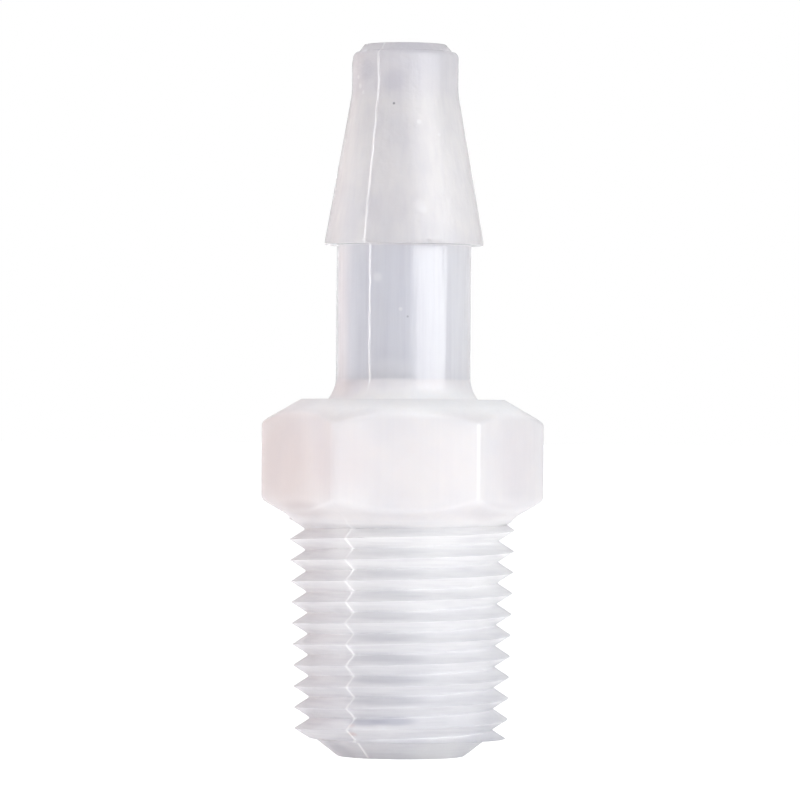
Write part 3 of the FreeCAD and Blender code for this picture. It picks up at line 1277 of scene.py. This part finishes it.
@dataclass
class Studio:
    """A white floor under soft lamps, and a camera level with the middle of the part."""

    view_distance: float = 247.0
    eye_height: float = 14.85
    aim_height: float = 15.975
    aim_left: float = 0.135
    turn: float = -1.8
    roll: float = 0.4
    picture_half: float = 400.0
    focal_pixels: float = 5500.0
    sensor_width: float = 36.0
    nearest: float = 10.0
    front_bearing: float = -90.0
    floor_size: float = 8000.0
    floor_colour: str = "#f2f2f2"
    floor_lift: float = 0.8
    floor_glow: float = 0.85
    shade_radius: float = 3.0
    shade_reach: float = 14.0
    backdrop: str = "#ffffff"
    sky_low: str = "#b0b2b8"
    sky_high: str = "#909298"
    softboxes: tuple[Softbox, ...] = (
        Softbox("side_softbox", turn=46, elevation=5, distance=400, width=420, height=500, power=4.1,
                lights_matt=False, lights_gloss=True),
        Softbox("front_softbox", turn=26, elevation=0, distance=400, width=250, height=420, power=1.6,
                lights_matt=True, lights_gloss=False),
        Softbox("top_softbox", turn=0, elevation=74, distance=400, width=300, height=300, power=0.2,
                lights_matt=True, lights_gloss=False),
        Softbox("warm_side_card", turn=-100, elevation=0, distance=400, width=300, height=420, power=0.75,
                lights_matt=True, lights_gloss=False, colour="#ffd2c6"),
        Softbox("rim_card", turn=-126, elevation=0, distance=400, width=260, height=420, power=0.22,
                lights_matt=False, lights_gloss=True, colour="#ffbfa0"),
    )

    def build(self) -> None:
        """Make the floor, the light and the camera."""
        self.floor()
        self.sky()
        for softbox in self.softboxes:
            self.hang(softbox)
        self.camera()

    @staticmethod
    def sight(tree: Tree) -> Source:
        """Tell the rays that show the background, seen straight, through the part or in its gloss.

        Args:
            tree: The tree that gets the nodes.

        Returns:
            One for such rays, and zero for those that only bring light.
        """
        path = add_node(tree, "ShaderNodeLightPath").outputs
        seen, through, mirrored = (path[f"Is {kind} Ray"] for kind in ("Camera", "Transmission", "Glossy"))
        straight = add_node(tree, "ShaderNodeMath", {0: seen, 1: through}, operation="MAXIMUM")
        return add_node(tree, "ShaderNodeMath", {0: straight, 1: mirrored}, operation="MAXIMUM")

    def floor(self) -> None:
        """Lay the white floor, which keeps the part's shadow."""
        half = self.floor_size / 2 * MM
        mesh = bpy.data.meshes.new("studio_floor")
        corners = [(-half, -half, 0), (half, -half, 0), (half, half, 0), (-half, half, 0)]
        mesh.from_pydata(corners, [], [(0, 1, 2, 3)])
        floor = bpy.data.objects.new("studio_floor", mesh)
        bpy.context.scene.collection.objects.link(floor)
        material = bpy.data.materials.new("white_sweep_paper")
        material.use_nodes = True
        tree = material.node_tree
        tree.nodes.clear()
        place = add_node(tree, "ShaderNodeTexCoord").outputs["Object"]
        away = add_node(tree, "ShaderNodeVectorMath", {0: place}, operation="LENGTH").outputs["Value"]
        bounce = add_node(tree, "ShaderNodeMapRange", {"Value": away, "From Min": self.shade_radius * MM,
                          "From Max": self.shade_reach * MM, "To Max": self.floor_glow})
        glow = add_node(tree, "ShaderNodeMapRange", {"Value": self.sight(tree), "To Min": bounce,
                        "To Max": self.floor_lift})
        paper = add_node(tree, "ShaderNodeBsdfDiffuse", {"Color": linear_colour(self.floor_colour)})
        lit = add_node(tree, "ShaderNodeEmission", {"Color": linear_colour(self.backdrop), "Strength": glow})
        both = add_node(tree, "ShaderNodeAddShader", {0: paper, 1: lit})
        add_node(tree, "ShaderNodeOutputMaterial", {"Surface": both})
        mesh.materials.append(material)

    def sky(self) -> None:
        """Surround the part with an even pale light, which the camera sees as plain white."""
        world = bpy.data.worlds.new("studio_surround")
        world.use_nodes = True
        tree = world.node_tree
        tree.nodes.clear()
        direction = add_node(tree, "ShaderNodeTexCoord").outputs["Generated"]
        rise = add_node(tree, "ShaderNodeSeparateXYZ", {0: direction}).outputs["Z"]
        ambient = add_node(tree, "ShaderNodeMix", {"Factor": rise, "A": linear_colour(self.sky_low),
                           "B": linear_colour(self.sky_high)}, data_type="RGBA").outputs["Result"]
        colour = add_node(tree, "ShaderNodeMix", {"Factor": self.sight(tree), "A": ambient,
                          "B": linear_colour(self.backdrop)}, data_type="RGBA").outputs["Result"]
        light = add_node(tree, "ShaderNodeBackground", {"Color": colour, "Strength": 1.0})
        add_node(tree, "ShaderNodeOutputWorld", {"Surface": light})
        bpy.context.scene.world = world

    def stand(self, turn: float, elevation: float, distance: float) -> Vector:
        """Work out a place round the part.

        Args:
            turn: How far it is turned about the axis from the camera, in degrees.
            elevation: How steeply it stands above the aim, in degrees.
            distance: How far it is from the aim, in millimetres.

        Returns:
            The place in metres.
        """
        bearing = math.radians(self.front_bearing + self.turn + turn)
        rise = math.radians(elevation)
        level = distance * math.cos(rise)
        height = self.aim_height + distance * math.sin(rise)
        return Vector((level * math.cos(bearing), level * math.sin(bearing), height)) * MM

    def hang(self, softbox: Softbox) -> None:
        """Hang a soft lamp that faces the part.

        Args:
            softbox: The lamp's place, size and light.
        """
        light = bpy.data.lights.new(softbox.name, "AREA")
        light.shape = "RECTANGLE"
        light.size = softbox.width * MM
        light.size_y = softbox.height * MM
        light.energy = softbox.power
        light.color = linear_colour(softbox.colour)[:3]
        lamp = bpy.data.objects.new(softbox.name, light)
        lamp.location = self.stand(softbox.turn, softbox.elevation, softbox.distance)
        aim = Vector((0, 0, self.aim_height * MM)) - lamp.location
        lamp.rotation_euler = aim.to_track_quat("-Z", "Y").to_euler()
        lamp.visible_diffuse = softbox.lights_matt
        lamp.visible_glossy = softbox.lights_gloss
        lamp.visible_transmission = False
        bpy.context.scene.collection.objects.link(lamp)

    def camera(self) -> None:
        """Set the camera where the photograph was taken from."""
        lens = bpy.data.cameras.new("photo_camera")
        lens.sensor_width = self.sensor_width
        lens.lens = self.focal_pixels / (2 * self.picture_half) * lens.sensor_width
        lens.clip_start = self.nearest * MM
        camera = bpy.data.objects.new("photo_camera", lens)
        place = self.stand(0.0, 0.0, self.view_distance)
        place.z = self.eye_height * MM
        aim = Vector((0, 0, self.aim_height * MM)) - place
        facing = aim.to_track_quat("-Z", "Y").to_matrix()
        left = -facing.col[0] * self.aim_left * MM
        camera.location = place + left
        camera.rotation_euler = (facing @ Matrix.Rotation(math.radians(self.roll), 3, "Z")).to_euler()
        bpy.context.scene.collection.objects.link(camera)
        bpy.context.scene.camera = camera


def main() -> None:
    """Build the connector in its studio and tie it to the frame."""
    logging.basicConfig(level=logging.INFO, format="%(name)s: %(message)s")
    scene = bpy.context.scene
    scene.view_settings.view_transform = "Standard"
    connector = MouldedConnector().build()
    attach(connector, BODY_NAME)
    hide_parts(NODE_NAME)
    LOG.info("connector stands for %s", NODE_NAME)
    Studio().build()
    LOG.info("studio is set")


if __name__ == "__main__":
    main()
